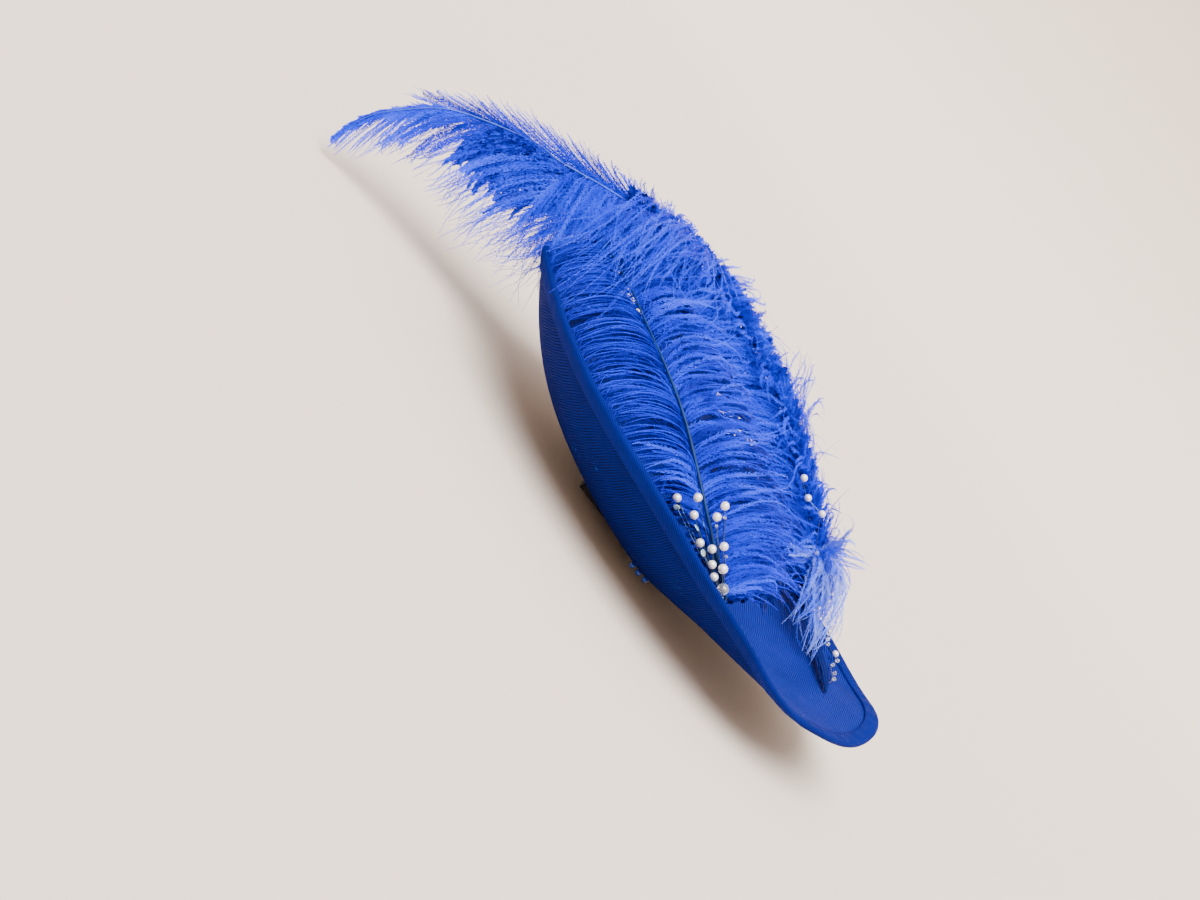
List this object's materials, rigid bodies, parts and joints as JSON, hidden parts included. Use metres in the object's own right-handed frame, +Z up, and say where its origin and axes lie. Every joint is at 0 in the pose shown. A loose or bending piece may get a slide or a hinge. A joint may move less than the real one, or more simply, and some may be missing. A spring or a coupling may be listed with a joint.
{
  "type": "fascinator",
  "caption": "Saucer-shaped fascinator in straw cloth with ostrich plumes, a feather tuft, a spray of pearls and crystals, a bound rim and a comb underneath",
  "frame": {"origin": "bottom centre of the bounding box, on the table under the comb", "axes": "+X along the length of the dish, away from the hanging plume; +Y towards the plume's side of the rim; +Z up, out of the hollow of the dish"},
  "size_m": [0.4866, 0.2578, 0.1373],
  "materials": {
    "straw_cloth": "matte open weave",
    "binding": "matte open weave",
    "cover": "matte open weave",
    "plume": "soft feather",
    "tuft": "soft feather",
    "pearl": "pearl gloss",
    "clear_crystal": "clear cut glass",
    "blue_glass": "clear glass",
    "wire": "fine silver wire",
    "comb": "plain"
  },
  "bodies": {
    "root": {"sinamay_base": "straw_cloth", "rim_binding": "binding", "front_feather": "plume", "rear_feather": "plume", "side_tuft": "tuft", "quill_cover": "cover", "spray_wires": "wire", "pearl_01": "pearl", "pearl_02": "pearl", "pearl_03": "pearl", "pearl_04": "pearl", "pearl_05": "pearl", "pearl_06": "pearl", "pearl_07": "pearl", "pearl_08": "pearl", "pearl_09": "pearl", "pearl_10": "pearl", "pearl_11": "pearl", "spray_ball": "clear_crystal", "spray_crystal_1": "clear_crystal", "spray_crystal_2": "clear_crystal", "spray_crystal_3": "clear_crystal", "spray_crystal_4": "clear_crystal", "spray_crystal_5": "clear_crystal", "spray_crystal_6": "clear_crystal", "strand_wire": "wire", "strand_pearl_1": "pearl", "strand_pearl_2": "pearl", "strand_pearl_3": "pearl", "strand_pearl_4": "pearl", "strand_crystal_01": "clear_crystal", "strand_crystal_02": "clear_crystal", "strand_crystal_03": "clear_crystal", "strand_crystal_04": "clear_crystal", "strand_crystal_05": "clear_crystal", "strand_crystal_06": "clear_crystal", "strand_crystal_07": "clear_crystal", "strand_crystal_08": "clear_crystal", "strand_crystal_09": "clear_crystal", "strand_crystal_10": "clear_crystal", "strand_crystal_11": "clear_crystal", "blue_bead_1": "blue_glass", "blue_bead_2": "blue_glass", "blue_bead_3": "blue_glass", "comb": "comb"}
  },
  "joints": []
}
